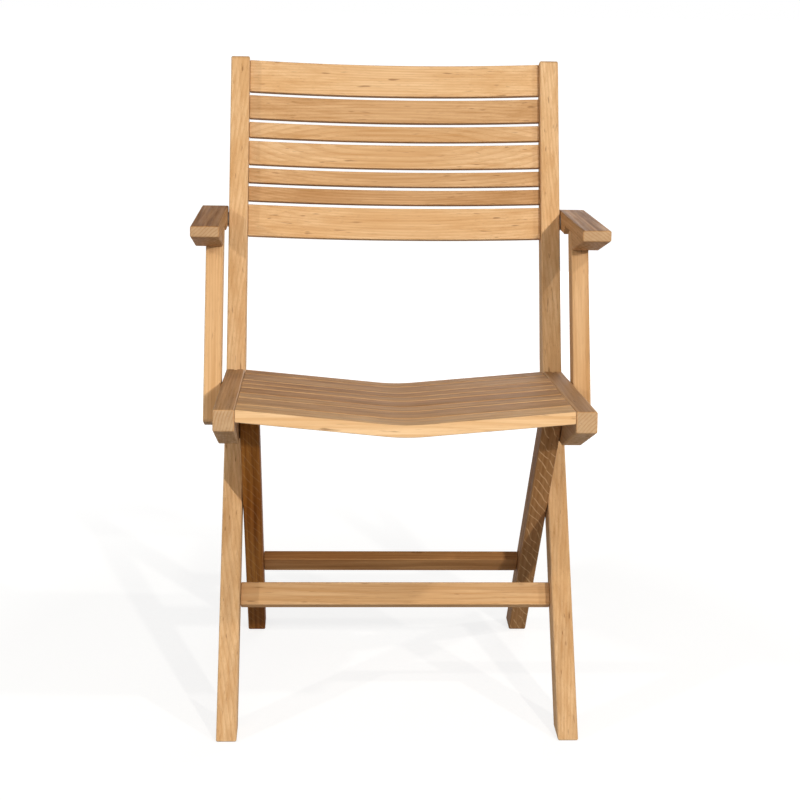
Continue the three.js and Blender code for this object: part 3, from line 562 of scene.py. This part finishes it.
over_hinge = pin["seat_hinge"] - SEAT_DOWN * HINGE_DROP
seat_rear = bend - Vector((0, 0, SEAT_BELOW_BEND))
ahead = (seat_rear - pin["seat_hinge"]).dot(SEAT_FORWARD) + SEAT_REAR_SETBACK
curve = [DISH_ROUND * (k / DISH_STEPS - 1) for k in range(2 * DISH_STEPS + 1)]
for number, (width, tone) in reversed(list(enumerate(SEAT_SLATS, 1))):
    end = REAR_SLAT_SHOULDER if number == len(SEAT_SLATS) else SHOULDER
    dish = [Vector((x, 0, 0)) + SEAT_DOWN * seat_dip(x) for x in (-end, *curve, end)]
    slat = strip(f"teak_seat_slat_{number}", over_hinge + SEAT_FORWARD * ahead, SEAT_FORWARD * width,
                 SEAT_DOWN * SEAT_SLAT_THICK, dish, SEAT_SLAT_ROUNDING)
    ahead += width + SEAT_SLAT_GAP
    shift = (0.29 * number, 0.17 * number, 0.11 * number)
    wood = teak(f"teak_of_seat_slat_{number}", crosswise(180 - SEAT_TILT), shift, tone, wear_and_shade=SEAT_WEAR_AND_SHADE)
    finish_piece(slat, wood, "seat", f"seat_slat_{number}")

# Armrests. Thick teak boards with a wedge below, notched for their supports and drilled for two bolts.
# They turn on the stiles' bolts, and their tops are greyed the most, by weathering and by painted shade.
ARM_RISE = 2.6
for side, shift, tone in (("left", (0.21, 0.6, 0.05), 0.56), ("right", (0.05, 0.25, 0.42), 0.5)):
    arm = joined_board(f"teak_arm_{side}", f"arm_{side}")
    wood = teak(f"teak_of_arm_{side}", upright(ARM_RISE - 90), shift, tone,
                ring=0.0038, heart=(0.03, 0.03), wear_and_shade=0.95)
    finish_piece(arm, wood, f"arm_{side}_body", f"arm_{side}")

# Arm supports. Straight teak boards with round tops, bolted to the outer faces of the seat rails and
# pinned into the notches of the armrests. The left one is paler than the right one.
SUPPORT_LEAN = 21.6
for side, shift, tone in (("left", (0.42, 0.1, 0.3), 0.14), ("right", (0.15, 0.4, 0.5), 0.34)):
    post = joined_board(f"teak_arm_support_{side}", f"arm_support_{side}")
    wood = teak(f"teak_of_arm_support_{side}", upright(SUPPORT_LEAN), shift, tone)
    finish_piece(post, wood, f"support_{side}_body", f"arm_support_{side}")

# Bolts. Dull brass machine bolts with domed heads and six-sided sockets, sunk in the boards' outer faces.
# Each is also the pivot on which two boards turn.
HEAD_DEPTH = 0.004
SHANK_RADIUS = 0.004
BOLT_HEAD_RADIUS = 0.007
PIN_HEAD_RADIUS = 0.006
RIM_ROUNDING = 0.0016
SOCKET_RADIUS = 0.0029
SOCKET_DEPTH = 0.0024
BRASS = (0.62, 0.43, 0.17)
STEEL = (0.58, 0.58, 0.56)
# Washer steel, darkened to paint the shade in the narrow gaps between the boards.
GAP_SHADE_STEEL = (0.2, 0.18, 0.16)
TARNISH = 0.55


def metal(name, color, rough):
    """Metal with cloudy tarnish and with fine scratches from turning."""
    material, tree, shader = new_material(name)
    shader.inputs["Metallic"].default_value = 1
    place = add_node(tree, "TexCoord").outputs["Object"]
    scratch = noise(tree, place, 300, 2600, 3, 0.6)
    cloud = noise(tree, place, 160, 160, 3, 0.6)
    dull = tuple(part * TARNISH for part in color)
    clouded = mix_color(tree, fit_range(tree, cloud, 0.35, 0.75, 0, 0.8), (*color, 1), (*dull, 1))
    tree.links.new(clouded, shader.inputs["Base Color"])
    tree.links.new(fit_range(tree, scratch, 0.3, 0.7, rough, rough + 0.2), shader.inputs["Roughness"])
    add_relief(tree, shader, scratch, 0.25, 0.0001)
    return material


def turned_bar(name, radius, length, middle, sides):
    """A cylinder that lies across the chair."""
    bpy.ops.object.select_all(action="DESELECT")
    bpy.ops.mesh.primitive_cylinder_add(vertices=sides, radius=radius, depth=length, location=middle,
                                        rotation=(0, math.pi / 2, 0))
    piece = bpy.context.object
    piece.name = name
    bpy.ops.object.transform_apply(location=True, rotation=True, scale=True)
    return piece


def select_end(piece, side, distance):
    """Selects the faces square to X at a distance from the chair's middle, on that side."""
    mesh = bmesh.from_edit_mesh(piece.data)
    for face in mesh.faces:
        face.select = False
    for face in mesh.faces:
        if abs(face.calc_center_median().x - side * distance) < 0.0001 and abs(face.normal.x) > 0.9:
            face.select = True
    bmesh.update_edit_mesh(piece.data)


def bolt(name, node, body, side, head):
    """A bolt along X: a head with a rounded rim and a socket, on a shank that runs inwards to its tip."""
    low, high = (Vector(corner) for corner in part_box(node))
    back, up = (low.y + high.y) / 2, (low.z + high.z) / 2
    tip, crown = sorted((abs(low.x), abs(high.x)))
    under_head = crown - HEAD_DEPTH
    piece = turned_bar(name, head, HEAD_DEPTH, (side * (under_head + crown) / 2, back, up), 48)
    edit(piece)
    bpy.ops.mesh.select_mode(type="FACE")
    select_end(piece, side, under_head)
    bpy.ops.mesh.inset(thickness=head - SHANK_RADIUS)
    bpy.ops.mesh.extrude_region_move(TRANSFORM_OT_translate={"value": (side * (tip - under_head), 0, 0)})
    select_end(piece, side, crown)
    bpy.ops.mesh.bevel(offset=RIM_ROUNDING, segments=5, affect="EDGES")
    bpy.ops.object.mode_set(mode="OBJECT")
    key = turned_bar("key", SOCKET_RADIUS, 2 * SOCKET_DEPTH, (side * crown, back, up), 6)
    socket = piece.modifiers.new("socket", "BOOLEAN")
    socket.object = key
    socket.operation = "DIFFERENCE"
    pick(piece)
    bpy.ops.object.modifier_apply(modifier=socket.name)
    bpy.data.objects.remove(key)
    smooth(piece)
    finish_piece(piece, brass, body, node)


brass = metal("dull_brass", BRASS, 0.32)
steel = metal("plain_steel", STEEL, 0.28)
# The washers' steel is dark as painted shade of their gaps.
steel_darkened_for_gap_shade = metal("steel_painted_with_gap_shade", GAP_SHADE_STEEL, 0.5)
for side, sign in (("left", -1), ("right", 1)):
    bolt(f"brass_arm_bolt_{side}", f"arm_bolt_{side}", "frame", sign, BOLT_HEAD_RADIUS)
    bolt(f"brass_leg_bolt_{side}", f"leg_bolt_{side}", "frame", sign, BOLT_HEAD_RADIUS)
    bolt(f"brass_support_bolt_{side}", f"support_bolt_{side}", "seat", sign, BOLT_HEAD_RADIUS)
    bolt(f"brass_top_pin_{side}", f"support_top_pin_{side}", f"arm_{side}_body", sign, PIN_HEAD_RADIUS)

# Washers, rod and hinges. Steel rings between the boards, darkened to paint the shade of the gaps they sit
# in, the steel rod that joins the tops of the rear legs and carries the seat, and the hidden steel pins and
# brass blades of the seat's hinges.
ROD_RADIUS = 0.004
ROD_ROUNDING = 0.0006
HIDDEN_METAL = (
    ("arm_washer", steel_darkened_for_gap_shade), ("leg_washer", steel_darkened_for_gap_shade), ("support_washer", steel_darkened_for_gap_shade),
    ("seat_hinge_pin", steel), ("seat_hinge_blade", brass),
)
for side in ("left", "right"):
    for node, finish in HIDDEN_METAL:
        mesh = frame["nodes"][f"{node}_{side}"].data
        mesh.materials.clear()
        mesh.materials.append(finish)
low, high = (Vector(corner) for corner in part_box("rear_leg_rod"))
rod = turned_bar("steel_rod", ROD_RADIUS, high.x - low.x, (low + high) / 2, 32)
edit(rod)
bpy.ops.mesh.select_mode(type="FACE")
for sign in (-1, 1):
    select_end(rod, sign, high.x)
    bpy.ops.mesh.bevel(offset=ROD_ROUNDING, segments=3, affect="EDGES")
smooth(rod)
finish_piece(rod, steel, "rear_frame", "rear_leg_rod")
